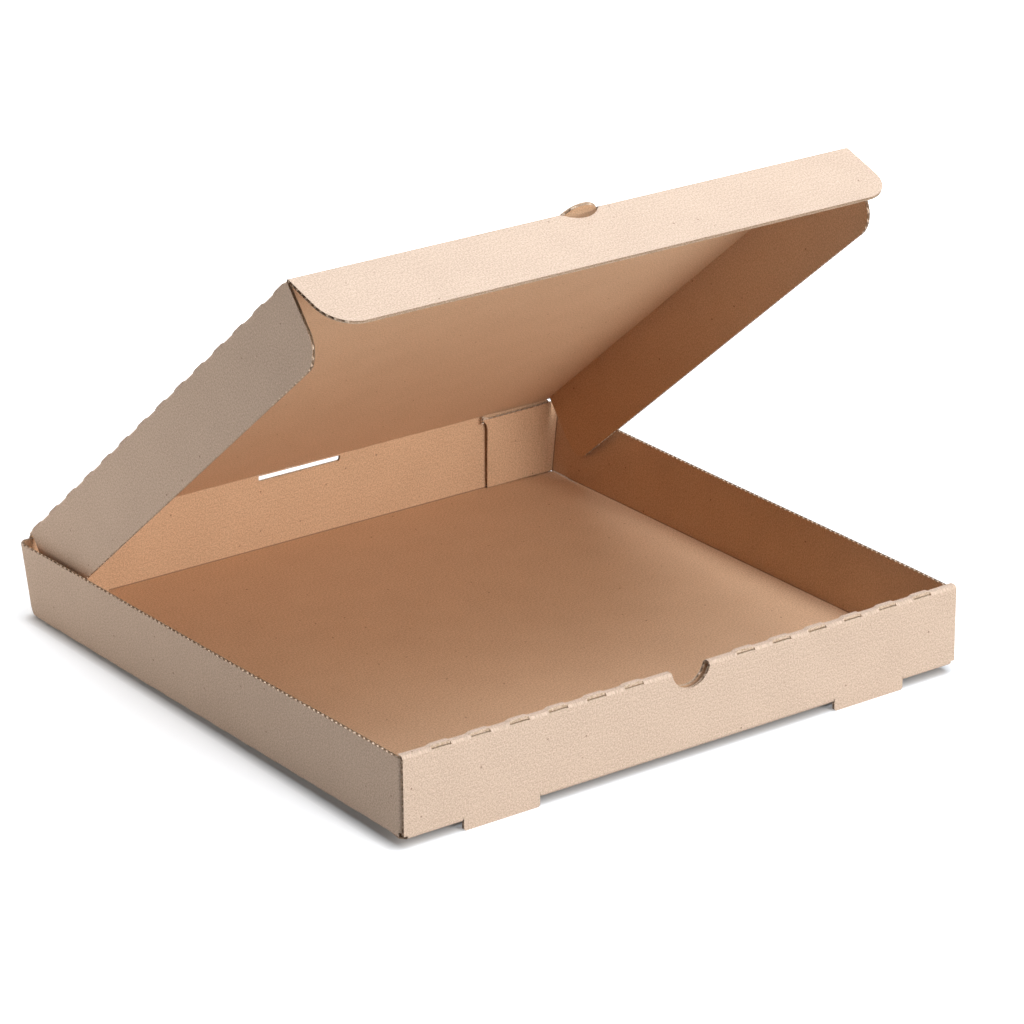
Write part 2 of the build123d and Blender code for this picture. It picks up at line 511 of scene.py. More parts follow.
    def fold(
        self,
        name: str,
        mapping: FlatMap,
        papers: Sequence[Material],
        creased: Callable[[Vector], float] | None = None,
    ) -> Piece:
        """Folds the sheet into its place and makes it an object.

        Args:
            name: Name of the piece.
            mapping: Gives the place in the box of a point of the flat sheet.
            papers: The materials in the order of Paper.
            creased: Tells how much painted shade darkens the inside of a fold at a point of the
                flat sheet.

        Returns:
            The piece, at the origin, in metres.
        """
        place = self.sheet.verts.layers.float_vector.new("sheet")
        # The crease layer carries painted shade: how far the inside of a fold is darkened, standing
        # in for the shade that falls in its hollow.
        crease = self.sheet.verts.layers.float.new("crease")
        for vert in self.sheet.verts:
            vert[place] = vert.co * MM
            vert[crease] = creased(vert.co) if creased else 0.0
            vert.co = mapping(*vert.co) * MM
        mesh = bpy.data.meshes.new(name)
        self.sheet.to_mesh(mesh)
        self.sheet.free()
        for paper in papers:
            mesh.materials.append(paper)
        mesh.polygons.foreach_set("use_smooth", [True] * len(mesh.polygons))
        mesh.set_sharp_from_angle(angle=math.radians(self.sharp_edge))
        return stand(name, mesh)


class NodeBench:
    """A small helper that lays out the nodes of one shader tree."""

    columns = 8
    spacing = (220, -260)

    def __init__(self, tree: bpy.types.NodeTree) -> None:
        """Starts on a tree and empties it."""
        self.tree = tree
        tree.nodes.clear()

    def add(self, kind: str, inputs: dict | None = None, **settings: object) -> bpy.types.Node:
        """Adds a node.

        Args:
            kind: Type name of the node.
            inputs: Values or output sockets for its inputs, by name or number.
            settings: Properties of the node.

        Returns:
            The new node.
        """
        row, column = divmod(len(self.tree.nodes), self.columns)
        node = self.tree.nodes.new(kind)
        node.location = (self.spacing[0] * column, self.spacing[1] * row)
        for key, value in settings.items():
            setattr(node, key, value)
        for key, value in (inputs or {}).items():
            if isinstance(value, Socket):
                self.tree.links.new(value, node.inputs[key])
            else:
                node.inputs[key].default_value = value
        return node

    def math(self, operation: str, *values: object) -> Socket:
        """The result of a Math node with these inputs."""
        return self.add("ShaderNodeMath", dict(enumerate(values)), operation=operation).outputs[0]

    def vector(self, operation: str, first: object, second: object) -> Socket:
        """The result of a Vector Math node with two inputs."""
        inputs = {0: first, 1: second}
        return self.add("ShaderNodeVectorMath", inputs, operation=operation).outputs[0]

    def noise(
        self, place: object, scale: float, detail: float, roughness: float = 0.5
    ) -> bpy.types.Node:
        """A noise texture."""
        inputs = {"Vector": place, "Scale": scale, "Detail": detail, "Roughness": roughness}
        return self.add("ShaderNodeTexNoise", inputs)

    def ramp(
        self, value: object, low: float, high: float, start: float = 0.0, end: float = 1.0
    ) -> Socket:
        """A value brought smoothly from one range to another.

        Args:
            value: The value.
            low: Start of its range.
            high: End of its range.
            start: Result at the start.
            end: Result at the end.

        Returns:
            The result's socket.
        """
        inputs = {"From Min": low, "From Max": high, "To Min": start, "To Max": end}
        node = self.add("ShaderNodeMapRange", inputs, interpolation_type="SMOOTHSTEP")
        self.tree.links.new(value, node.inputs["Value"])
        return node.outputs["Result"]

    def tint(self, share: object, first: object, second: object) -> Socket:
        """A colour mixed from two by a share."""
        inputs = {0: share, 6: first, 7: second}
        return self.add("ShaderNodeMix", inputs, data_type="RGBA").outputs[2]

    def attribute(self, name: str) -> bpy.types.Node:
        """An attribute of the piece's own mesh."""
        return self.add("ShaderNodeAttribute", attribute_name=name)

    def seen(self) -> Socket:
        """1 where the camera looks, straight or by way of a shine, and 0 for lighting.

        Returns:
            The result's socket.
        """
        rays = self.add("ShaderNodeLightPath").outputs
        level = self.math("MAXIMUM", rays["Is Camera Ray"], rays["Is Glossy Ray"])
        return self.math("MAXIMUM", level, rays["Is Transmission Ray"])


@dataclass(frozen=True)
class DotPattern:
    """Scattered dots, used for the paper's own dark flecks and for light dots of painted glint:
    cells to a metre, size in a cell, share left empty.
    """

    scale: float
    size: float
    empty: float
    soft: float = 0.55
    faintest: float = 0.35

    def level(self, bench: NodeBench, sheet: Socket) -> Socket:
        """How strong a dot is at a place of the sheet.

        Args:
            bench: The tree that gets the nodes.
            sheet: The place on the sheet.

        Returns:
            The strength's socket.
        """
        place = {"Vector": sheet, "Scale": self.scale}
        cells = bench.add("ShaderNodeTexVoronoi", place, voronoi_dimensions="2D").outputs
        chance = bench.add("ShaderNodeSeparateColor", {"Color": cells["Color"]}).outputs
        dot = bench.ramp(cells["Distance"], self.size, self.size * self.soft)
        chosen = bench.math("GREATER_THAN", chance[0], self.empty)
        weight = bench.ramp(chance[1], 0.0, 1.0, self.faintest, 1.0)
        return bench.math("MULTIPLY", bench.math("MULTIPLY", dot, chosen), weight)


SPECKS = DotPattern(52.0, 0.032, 0.5)
# Painted glints: light dots in the paper's colour that stand in for glints of light on its surface.
GLINT_DOTS = DotPattern(75.0, 0.026, 0.4)
FIBRE_CURL = (0.004, 0.004, 0.004)
FIBRE_DRAWN = (520.0, 1500.0, 900.0)


def pulp_group() -> bpy.types.NodeTree:
    """The pulp's mottling, fibres, dark flecks, light dots of painted glint and flute lines, read
    from the flat sheet.

    Returns:
        A shader node group with one vector input and six values out.
    """
    names = ("Cloud", "Grain", "Fibre", "Speck", "Chip", "Ribs")
    tree = bpy.data.node_groups.new("kraft_pulp", "ShaderNodeTree")
    tree.interface.new_socket("Sheet", in_out="INPUT", socket_type="NodeSocketVector")
    for name in names:
        tree.interface.new_socket(name, in_out="OUTPUT", socket_type="NodeSocketFloat")
    bench = NodeBench(tree)
    sheet = bench.add("NodeGroupInput").outputs["Sheet"]
    cloud = bench.noise(sheet, scale=38.0, detail=3.0, roughness=0.55).outputs[0]
    grain = bench.noise(sheet, scale=1250.0, detail=3.0, roughness=0.65).outputs[0]
    bent = bench.noise(sheet, scale=220.0, detail=1.0).outputs["Color"]
    curled = bench.vector("ADD", sheet, bench.vector("MULTIPLY", bent, FIBRE_CURL))
    drawn = bench.add("ShaderNodeMapping", {"Vector": curled, "Scale": FIBRE_DRAWN}).outputs[0]
    fibre = bench.noise(drawn, scale=1.0, detail=2.0).outputs[0]
    dots = [dot_pattern.level(bench, sheet) for dot_pattern in (SPECKS, GLINT_DOTS)]
    across = bench.add("ShaderNodeSeparateXYZ", {"Vector": sheet}).outputs["Y"]
    turns = bench.math("MULTIPLY", across, 2 * math.pi / (Board().flute_pitch * MM))
    ribs = bench.math("SINE", turns)
    bench.add("NodeGroupOutput", dict(zip(names, (cloud, grain, fibre, *dots, ribs))))
    return tree


@dataclass(frozen=True)
class KraftPaper:
    """The finish of one liner of the card, or of its cut edge."""

    name: str
    dark: Colour
    light: Colour
    fibre: Colour
    # Colour of the paper's dark specks, also used for the painted shade along the inside of the
    # folds.
    speck: Colour
    # Colour of the painted glint dots, lighter than the paper.
    chip: Colour
    ribs: float
    roughness: float
    grain_range: Point2 = (0.35, 0.65)
    fibre_range: Point2 = (0.6, 0.74)
    rough_range: Point2 = (0.3, 0.7)
    rough_spread: Point2 = (-0.06, 0.05)
    grain_share: float = 0.92
    cloud_share: float = 0.08
    fibre_share: float = 0.35
    # Share of the painted glint dots.
    glint_share: float = 0.5
    speck_share: float = 0.75
    # Share of painted shade along the inside of the folds, standing in for the shade in their
    # hollows.
    crease_share: float = 0.8
    grain_height: float = 0.6
    fibre_height: float = 0.4
    bump: float = 0.12
    bump_depth: float = 0.0004
    shine: float = 0.3

    def material(self, pulp: bpy.types.NodeTree) -> Material:
        """Makes the paper's material.

        Args:
            pulp: The shared group of pulp patterns.

        Returns:
            The material.
        """
        paper = bpy.data.materials.new(self.name)
        paper.use_nodes = True
        bench = NodeBench(paper.node_tree)
        group = bench.add("ShaderNodeGroup", node_tree=pulp)
        sheet = bench.attribute("sheet").outputs["Vector"]
        paper.node_tree.links.new(sheet, group.inputs["Sheet"])
        out = group.outputs
        cloud = bench.math("MULTIPLY", out["Cloud"], self.cloud_share)
        mixed = bench.math("MULTIPLY_ADD", out["Grain"], self.grain_share, cloud)
        ground = bench.tint(bench.ramp(mixed, *self.grain_range), self.dark, self.light)
        threads = bench.ramp(out["Fibre"], *self.fibre_range, 0.0, self.fibre_share)
        ground = bench.tint(threads, ground, self.fibre)
        # Painted shade: along the inside of each fold the colour is darkened towards the speck
        # colour, standing in for the shade in the fold's hollow.
        crease = bench.attribute("crease").outputs["Fac"]
        # The light dots are painted glints of light, the dark specks are the paper's own, and the
        # last mark is painted shade in the folds.
        for level, share, colour in (
            (out["Chip"], self.glint_share, self.chip),
            (out["Speck"], self.speck_share, self.speck),
            (crease, self.crease_share, self.speck),
        ):
            ground = bench.tint(bench.math("MULTIPLY", level, share), ground, colour)
        ground = bench.tint(bench.ramp(out["Ribs"], -1.0, 1.0, 0.0, self.ribs), ground, self.dark)
        height = bench.math("MULTIPLY", out["Fibre"], self.fibre_height)
        height = bench.math("MULTIPLY_ADD", out["Grain"], self.grain_height, height)
        height = bench.math("MULTIPLY_ADD", out["Ribs"], self.ribs, height)
        relief = bench.add(
            "ShaderNodeBump",
            {"Height": height, "Strength": self.bump, "Distance": self.bump_depth},
        )
        ends = [self.roughness + spread for spread in self.rough_spread]
        rough = bench.ramp(out["Grain"], *self.rough_range, *ends)
        shader = bench.add(
            "ShaderNodeBsdfPrincipled",
            {
                "Base Color": ground,
                "Roughness": rough,
                "Normal": relief.outputs["Normal"],
                "Specular IOR Level": self.shine,
            },
        )
        bench.add("ShaderNodeOutputMaterial", {"Surface": shader.outputs[0]})
        return paper


OUTER_LINER = KraftPaper(
    name="kraft_outer_liner",
    dark=(0.425, 0.312, 0.232, 1),
    light=(0.625, 0.475, 0.362, 1),
    fibre=(0.69, 0.545, 0.43, 1),
    speck=(0.16, 0.09, 0.05, 1),
    chip=(0.82, 0.68, 0.55, 1),
    ribs=0.10,
    roughness=0.86,
)
INNER_LINER = KraftPaper(
    name="kraft_inner_liner",
    dark=(0.482, 0.297, 0.174, 1),
    light=(0.705, 0.452, 0.278, 1),
    fibre=(0.77, 0.52, 0.34, 1),
    speck=(0.16, 0.08, 0.04, 1),
    chip=(0.86, 0.59, 0.38, 1),
    ribs=0.08,
    roughness=0.88,
)
CUT_EDGE = KraftPaper(
    name="kraft_cut_edge",
    dark=(0.42, 0.30, 0.20, 1),
    light=(0.66, 0.52, 0.40, 1),
    fibre=(0.74, 0.60, 0.48, 1),
    speck=(0.16, 0.09, 0.05, 1),
    chip=(0.84, 0.71, 0.58, 1),
    ribs=0.0,
    roughness=0.95,
)


@dataclass(frozen=True)
class Seat:
    """How the tray stands on the table: on its front feet and its back lower fold."""

    depth: float = 330.0
    foot_drop: float = 4.5

    def world(self, x: float, y: float, z: float) -> Vector:
        """A place of the tray's own frame, as a place of the whole box.

        Args:
            x: Place to the right.
            y: Place to the back, from the tray's front.
            z: Height above the tray's underside.

        Returns:
            The place in the whole box's frame.
        """
        tilt = math.atan(self.foot_drop / self.depth)
        back = -self.depth / 2 + y * math.cos(tilt) + z * math.sin(tilt)
        up = self.depth * math.sin(tilt) - y * math.sin(tilt) + z * math.cos(tilt)
        return Vector((x, back, up))


@dataclass
class Tray:
    """The tray: floor, side walls with corner flaps, doubled front wall and rear wall."""

    papers: list[Material]
    board: Board = Board()
    seat: Seat = Seat()
    width: float = 330.0
    depth: float = 330.0
    side_height: float = 40.0
    side_sharp: float = 0.85
    side_slit: float = 0.12
    lean: float = 4.3
    lean_rise: float = 37.0
    front_height: float = 42.0
    front_thickness: float = 5.4
    front_flap: float = 60.0
    front_chamfer: float = 4.0
    inner_gap: float = 0.3
    inner_chamfer: float = 2.0
    end_gap: float = 2.1
    end_step: float = 0.45
    rear_flap: float = 45.5
    rear_notch: float = 6.0
    notch_gap: float = 0.3
    tongue_gap: float = 0.4
    flap_base: float = 3.0
    flap_front: float = 1.9
    flap_rear: float = 328.1
    flap_low: float = 1.9
    flap_high: float = 41.5
    flap_lean: float = 0.7
    rear_half: float = 162.8
    rear_corner: float = 4.5
    rear_top: float = 42.4
    rear_peak: float = 1.5
    corner_end: float = 0.26
    reliefs: dict[Side, float] = field(default_factory=lambda: {Side.LEFT: 6.0, Side.RIGHT: 0.6})
    relief_gap: float = 1.9
    thumb_radius: float = 11.5
    thumb_middle: float = 43.2
    thumb_lip: float = 11.4
    foot_width: float = 44.0
    foot_inset: float = 33.0
    foot_drop: float = 4.5
    foot_slit: float = 0.4
    foot_gap: float = 0.5
    foot_chamfer: float = 1.0
    tab_inset: float = 3.0
    tab_drop: float = 1.6
    dash: float = 11.0
    dash_pitch: float = 22.0
    dash_margin: float = 30.0
    dash_width: float = 0.5
    dash_rise: float = 0.6
    dash_ramp: float = 2.2
    roll_sharp: float = 0.8
    roll_settle: float = 0.25
    roll_fade: float = 2.0
    roll_reach: float = 3.0
    roll_margin: float = 5.0
    roll_shifts: tuple[float, ...] = (-1.8, -0.9, 0, 0.9, 1.8)
    lift_span: Point2 = (0.52, 0.48)
    settle_past: float = 8.0
    slot_half: float = 25.5
    slot_low: float = 39.2
    slot_high: float = 42.0
    slot_cuts: Point2 = (0.4, 0.8)
    bow_rise: float = 30.0
    bow_inset: float = 4.0
    bulge_low: float = 18.0
    bulge_high: float = 12.0
    slack_reach: float = 34.0
    slit_margin: float = 12.0
    slit_front: float = 10.0
    slit_reach: float = 0.6
    side_shifts: Point3 = (-0.9, 0, 0.9)
    flap_past: float = 8.0
    # Width and strength of the painted shade along the inside of the folds.
    crease_width: float = 0.8
    crease_level: float = 1.4
    floor_step: float = 18.0
    wall_step: float = 15.0
    front_step: float = 13.0
    flap_step: float = 9.0

    def __post_init__(self) -> None:
        """Works out the fold lines and the folded paths from the sizes."""
        board = self.board
        self.half_width = self.width / 2
        self.side_start = self.half_width - board.fold
        self.front_start = board.fold
        self.rear_start = self.depth - board.fold
        self.front_bend = self.flap_front + board.fold
        self.rear_bend = self.flap_rear - board.fold
        self.wall_top = self.side_start + board.arc + self.side_height - board.fold
        self.hinge_line = self.rear_start + board.arc + self.rear_top - board.fold
        self.panel_rise = self.front_height - 2 * board.fold
        self.roll_top = self.front_thickness - 2 * board.fold
        self.inner_drop = self.front_height - board.fold - board.thickness - self.inner_gap
        self.first_roll = board.arc + self.panel_rise
        self.second_roll = self.first_roll + board.arc + self.roll_top
        self.inner_end = self.second_roll + board.arc + self.inner_drop
        bend, edge = Run(board.arc, 90), (0.0, board.half)
        self.side_path = FoldPath(edge, 0.0, (bend, Run(self.side_height - board.fold)))
        self.rear_path = FoldPath(edge, 0.0, (bend, Run(self.rear_top - board.fold)))
        panels = [self.panel_rise, self.roll_top, self.inner_drop + self.tab_drop]
        runs = [run for length in panels for run in (bend, Run(length))]
        self.front_path = FoldPath(edge, 0.0, tuple(runs))
        self.corner_path = FoldPath((0.0, 0.0), 0.0, (bend, Run(self.front_flap)))
        front_fold = self.half_width - self.thumb_radius
        row = self.dash_row(front_fold)
        middle = self.thumb_radius + front_fold / 2
        self.front_dashes = sorted(side.value * (middle + place) for side in Side for place in row)
        self.side_dashes = [self.depth / 2 + place for place in self.dash_row(self.depth)]
        self.foot_middle = self.half_width - self.foot_inset - self.foot_width / 2

    def dash_row(self, length: float) -> list[float]:
        """Middles of the dashes along a fold of this length, from its middle."""
        count = int((length - self.dash_margin - self.dash) / self.dash_pitch) + 1
        return [self.dash_pitch * (index - (count - 1) / 2) for index in range(count)]

    def on_foot(self, u: float, v: float) -> bool:
        """Tells whether a place of the flat sheet belongs to a foot.

        Args:
            u: Place to the right on the flat blank.
            v: Place to the back on the flat blank.

        Returns:
            True on a foot.
        """
        reach = self.foot_width / 2 - self.foot_slit / 2
        low = self.front_start + self.foot_drop + PAST_EDGE / 2
        return v <= low and abs(abs(u) - self.foot_middle) < reach

    def splay(self, height: float) -> float:
        """How far a side wall leans out at a height, at its back end."""
        return self.lean * max(0.0, height - self.flap_base) / self.lean_rise

    def folded(self, u: float, v: float, n: float) -> Vector:
        """Folds a point of the flat blank into the box.

        Args:
            u: Place to the right on the flat blank.
            v: Place to the back on the flat blank.
            n: Height above the middle of the card, towards the inside.

        Returns:
            The place in the whole box's frame.
        """
        board = self.board
        down = self.front_start - v - board.arc
        if down < 0 and self.on_foot(u, v):
            return self.seat.world(u, board.half + n, board.fold + down)
        if v < self.front_start and abs(u) <= self.half_width + PAST_EDGE:
            return self.front_wall(u, self.front_start - v, n)
        if v > self.rear_start and abs(u) <= self.rear_half + PAST_EDGE:
            ahead, up = self.rear_path.place(v - self.rear_start, n)
            bow = wave(u, depth=0.25, length=47, shift=0.6)
            bow *= smooth(up / self.bow_rise) * fade(self.rear_top - up)
            return self.seat.world(u, self.rear_start + ahead + bow, up)
        rise = abs(u) - self.side_start
        if rise <= 0:
            inset = fade(-rise, v - self.front_start, self.rear_start - v)
            return self.seat.world(u, v, board.half + n + ripple(u, v) * inset)
        return self.side_wall(-1 if u < 0 else 1, rise, v, n)

    def front_wall(self, u: float, along: float, n: float) -> Vector:
        """Place of a point of the doubled front wall, by its distance from the floor's edge.

        Args:
            u: Place to the right on the flat blank.
            along: Distance from the floor's edge along the card.
            n: Height above the middle of the card, towards the inside.

        Returns:
            The place in the whole box's frame.
        """
        arc, half_roll = self.board.arc, self.roll_top / 2
        dash = dash_share(u, self.front_dashes, self.dash, self.dash_ramp)
        ahead, up = self.front_path.place(along, n, self.roll_sharp)
        roll_middle = self.first_roll + arc + half_roll
        near = smooth(1.0 - (abs(along - roll_middle) - half_roll - arc) / self.roll_fade)
        first, last = self.lift_span
        on_top = self.first_roll + arc * first < along < self.second_roll + arc * last
        lift = self.dash_rise * dash * near if on_top else 0.0
        settle = self.roll_settle * (1 - dash) * near
        settle *= fade(self.half_width - abs(u) + self.settle_past)
        bulge = wave(u, depth=0.18, length=33, shift=0.8)
        bulge *= smooth(up / self.bulge_low) * smooth((self.front_height - up) / self.bulge_high)
        return self.seat.world(u, self.front_start - ahead - bulge, up + lift - settle)

    def side_wall(self, side: int, rise: float, v: float, n: float) -> Vector:
        """Place of a point of a side wall or of one of its corner flaps.

        Args:
            side: -1 for the left wall, 1 for the right.
            rise: Distance from the floor's edge along the card.
            v: Place to the back on the flat blank.
            n: Height above the middle of the card, towards the inside.

        Returns:
            The place in the whole box's frame.
        """
        board = self.board
        dash = dash_share(v, self.side_dashes, self.dash)
        out, up = self.side_path.place(rise, n, self.side_sharp * dash if rise < board.arc else 0.0)
        x, y = self.side_start + out, v
        past = max(self.front_bend - v, v - self.rear_bend)
        if past > 0:
            ahead, inward = self.corner_path.place(past, n)
            x = self.side_start + board.middle - inward
            up = board.fold + (rise - board.arc)
            slack = smooth(up / self.side_height) * smooth((past - board.arc) / self.slack_reach)
            y = self.rear_bend + ahead - self.flap_lean * slack
            if v < self.front_bend:
                y = self.front_bend - ahead
        lean = self.splay(up) * clamp(y / self.flap_rear)
        bow = wave(v, depth=0.35, length=61, shift=side) * smooth(up / self.side_height)
        bow *= fade(y - self.bow_inset, self.flap_rear - self.bow_inset - y)
        return self.seat.world(side * (x + lean + bow), y, up)

    def wall_outline(self, side: Side) -> list[Point2]:
        """Outline of a side wall with its two corner flaps on the flat blank.

        Args:
            side: Which of the two walls.

        Returns:
            The points in order.
        """
        board, base, top, cut = self.board, self.side_start, self.wall_top, self.front_chamfer
        foot = base + self.flap_base
        end = self.front_bend - board.arc - (self.front_flap - board.fold)
        points = [(base, self.front_bend), (foot, self.front_bend), (foot, end + cut)]
        points += [(foot + cut / 2, end), (top - cut, end), (top, end + cut)]
        points += self.rear_flap_end()
        points.append((base + self.flap_low, self.rear_bend + board.arc + self.notch_gap))
        relief = self.reliefs[side]
        for across, ahead in arc_points((0.0, 0.0), relief, SQUARE, 0.0, steps=6):
            along = max(0.0, relief - across - board.fold + board.arc)
            points.append((base + along, self.flap_rear - relief + ahead - self.relief_gap))
        return [(side.value * u, v) for u, v in points]

    def rear_flap_end(self) -> list[Point2]:
        """Outline of a rear flap's free end on the flat blank, hollowed below its upper tip.

        Returns:
            The points in order.
        """
        board = self.board
        turned = self.rear_bend + board.arc
        end = self.half_width - self.rear_flap
        middle = self.flap_high + self.notch_gap - self.rear_notch
        first = math.asin((self.flap_high - middle) / self.rear_notch)
        notch = arc_points((end - self.rear_notch, middle), self.rear_notch, first, 0.0, steps=8)
        raised = self.wall_top + self.flap_high - self.side_height
        points = [(self.wall_top, self.rear_bend + self.tongue_gap)]
        points.append((raised, turned + self.tongue_gap))
        for across, height in [*notch, (end, self.flap_low)]:
            rise = self.side_start + board.arc + height - board.fold
            points.append((rise, turned + self.side_start + self.splay(height) - across))
        return points

    def front_outline(self) -> list[Point2]:
        """Outline of the doubled front wall, with its feet and lock tabs, on the flat blank.

        Returns:
            The points in order.
        """
        start, middle, arc = self.front_start, self.foot_middle, self.board.arc
        reach = self.foot_width / 2
        inner = reach - self.foot_slit
        tip, cut = start + self.foot_drop, self.foot_chamfer
        shoulder = start - arc
        right = [(middle - reach, start), (middle - reach, shoulder), (middle - inner, shoulder)]
        right += [(middle - inner, tip - cut), (middle - inner + cut, tip)]
        right += [(middle + inner - cut, tip), (middle + inner, tip - cut)]
        right += [(middle + inner, shoulder), (middle + reach, shoulder), (middle + reach, start)]
        right += [(self.side_start, start), (self.side_start, shoulder)]
        step_line = start - self.second_roll - arc * self.end_step
        side, end = self.half_width - self.end_gap, start - self.inner_end
        right += [(self.half_width, shoulder), (self.half_width, step_line), (side, step_line)]
        right += [(side, end + self.inner_chamfer), (side - self.inner_chamfer, end)]
        tab, low = reach - self.tab_inset, end - self.tab_drop
        right += [(middle + tab, end), (middle + tab, low)]
        right += [(middle - tab, low), (middle - tab, end)]
        return mirrored(right)

    def thumb_hole(self) -> list[Point2]:
        """Outline of the half-moon notch through both layers of the front wall.

        Returns:
            The points in order.
        """
        board, radius, edge = self.board, self.thumb_radius, self.thumb_lip
        span = math.acos((self.thumb_middle - self.front_height + board.fold) / radius)
        centre = self.front_start - (board.arc + self.thumb_middle - board.fold)
        outer = arc_points((0.0, centre), radius, SQUARE + span, SQUARE - span, steps=24)
        mirror = 2 * self.first_roll + 2 * board.arc + self.roll_top
        inner = [(u, 2 * self.front_start - mirror - v) for u, v in reversed(outer)]
        lip = self.front_start - self.first_roll - board.arc
        back = lip - self.roll_top
        return [*outer, (edge, lip), (edge, back), *inner, (-edge, back), (-edge, lip)]

    def floor_outline(self) -> list[Point2]:
        """Outline of the floor on the flat blank, cut away round the feet.

        Returns:
            The points in order.
        """
        start, edge = self.front_start, self.side_start
        hole = start + self.foot_drop + self.foot_gap
        near = self.foot_middle - self.foot_width / 2
        far = self.foot_middle + self.foot_width / 2
        front = [(near, start), (near, hole), (far, hole), (far, start)]
        front += [(edge, start), (edge, self.front_bend)]
        halves = {}
        for side in Side:
            relief_line = self.flap_rear - self.reliefs[side] - self.relief_gap
            halves[side] = [*front, (edge, relief_line), (edge, self.rear_start)]
        return halves[Side.RIGHT] + [(-u, v) for u, v in reversed(halves[Side.LEFT])]

    def rear_outline(self) -> list[Point2]:
        """Outline of the rear wall on the flat blank, up to the lid's fold.

        Returns:
            The points in order.
        """
        top, radius = self.hinge_line, self.rear_corner
        centre = (self.rear_half - radius, top + self.rear_peak - radius)
        rounded = arc_points(centre, radius, 0.0, SQUARE, steps=8)
        right = [(self.rear_half, self.rear_start), *((u, v) for u, v in rounded if v < top)]
        return mirrored([*right, (self.rear_half - self.corner_end * radius, top)])

    def slot_hole(self) -> list[Point2]:
        """Outline of the slot in the middle of the rear wall's top.

        Returns:
            The points in order.
        """
        base, half = self.hinge_line - self.rear_top, self.slot_half
        low, high = base + self.slot_low, base + self.slot_high
        left, right = self.slot_cuts
        lower = [(-half, low + left), (-half + left, low), (half - right, low), (half, low + right)]
        return [*lower, (half, high), (-half, high)]

    def build(self) -> Piece:
        """Builds the tray and lets it stand for its CAD node.

        Returns:
            The piece.
        """
        board = self.board
        card = CardMesh(board)
        roll_slits = [
            slit(middle, self.front_start - roll - board.arc / 2, self.dash, self.dash_width, False)
            for middle in self.front_dashes
            for roll in (self.first_roll, self.second_roll)
        ]
        card.panel(self.floor_outline())
        card.panel(self.front_outline(), [self.thumb_hole(), *roll_slits])
        card.panel(self.rear_outline(), [self.slot_hole()])
        for side in Side:
            across = side.value * (self.side_start + board.arc / 2)
            fold_slits = [
                slit(middle, across, self.dash, self.side_slit, True)
                for middle in self.side_dashes
                if middle + self.dash / 2 < self.flap_rear - self.slit_margin
            ]
            card.panel(self.wall_outline(side), fold_slits)
        self.score_lines(card)
        top = self.hinge_line
        card.layer(lambda place: abs(place.y - top) < ON_LINE or self.in_slit(place))
        tray = card.fold("tray_card", self.folded, self.papers, self.creased)
        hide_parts("tray")
        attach(tray, "tray")
        return tray

    def score_lines(self, card: CardMesh) -> None:
        """Divides the blank along its folds and across its panels.

        Args:
            card: The flat blank.
        """
        arc, start, rear = self.board.arc, self.front_start, self.rear_start
        on_front = lambda place: place.y < start and abs(place.x) < self.half_width
        for roll in (0.0, self.first_roll, self.second_roll):
            card.score(1, bend_lines(start - roll, arc, -1), on_front)
        card.score(1, grid(start - arc - self.panel_rise, start - arc, self.front_step), on_front)
        ends = dash_ends(self.front_dashes, self.dash, self.roll_shifts)
        card.score(0, ends, lambda place: on_front(place) and self.near_roll(start - place.y))
        card.score(0, grid(-self.half_width, self.half_width, self.wall_step), on_front)
        on_rear = lambda place: place.y > rear and abs(place.x) < self.rear_half
        card.score(1, bend_lines(rear, arc, 1), on_rear)
        card.score(1, grid(rear + arc, rear + self.side_height, self.front_step), on_rear)
        card.score(0, grid(-self.rear_half, self.rear_half, self.wall_step), on_rear)
        ends = dash_ends(self.side_dashes, self.dash, self.side_shifts)
        for side in (side.value for side in Side):
            past = lambda place, s=side: place.x * s - self.side_start
            base = side * self.side_start
            on_wall = lambda place: past(place) > 0
            upper = lambda place: past(place) > arc
            card.score(0, bend_lines(base, arc, side), on_wall)
            rows = sorted(base + side * x for x in grid(arc, self.side_height, self.flap_step))
            card.score(0, rows, upper)
            card.score(1, bend_lines(self.front_bend, arc, -1), upper)
            card.score(1, bend_lines(self.rear_bend, arc, 1), upper)
            card.score(1, grid(self.front_bend, self.rear_bend, self.wall_step), on_wall)
            flap_end = self.rear_bend + self.rear_flap + self.flap_past
            card.score(1, grid(self.rear_bend + arc, flap_end, self.flap_step), upper)
            card.score(1, ends, lambda place: 0 < past(place) < arc)
        on_floor = lambda place: abs(place.x) < self.side_start and start < place.y < self.depth
        card.score(0, grid(-self.side_start, self.side_start, self.floor_step), on_floor)
        card.score(1, grid(start, rear, self.floor_step), on_floor)

    def in_slit(self, place: Vector) -> bool:
        """Tells whether a place of an edge lies in one of the slits along the folds.

        Args:
            place: A place of the flat blank.

        Returns:
            True in a slit.
        """
        middle, width = self.board.arc / 2, self.dash_width * self.slit_reach
        along = self.front_start - place.y - middle
        on_roll = any(abs(along - roll) < width for roll in (self.first_roll, self.second_roll))
        beside = abs(abs(place.x) - self.side_start - middle) < width
        if on_roll and abs(place.x) < self.half_width - self.roll_margin:
            return True
        return beside and self.slit_front < place.y < self.depth - self.slit_margin

    def creased(self, place: Vector) -> float:
        """How much painted shade darkens the inside of a fold at a point of the flat sheet,
        standing in for the shade in the fold's hollow inside the box.

        Args:
            place: A place of the flat blank, with its height in the card.

        Returns:
            The share of dark, from 0 to 1.
        """
        if place.z <= 0:
            return 0.0
        middle = self.board.arc / 2
        rear = self.rear_start if abs(place.x) <= self.side_start else self.rear_bend
        gaps = (abs(place.x) - self.side_start - middle, place.y - rear - middle)
        return smooth(self.crease_level - min(map(abs, gaps)) / self.crease_width)

    def near_roll(self, along: float) -> bool:
        """Tells whether a place on the front wall lies near its rolled top."""
        end = self.second_roll + self.board.arc
        return self.first_roll - self.roll_reach < along < end + self.roll_reach


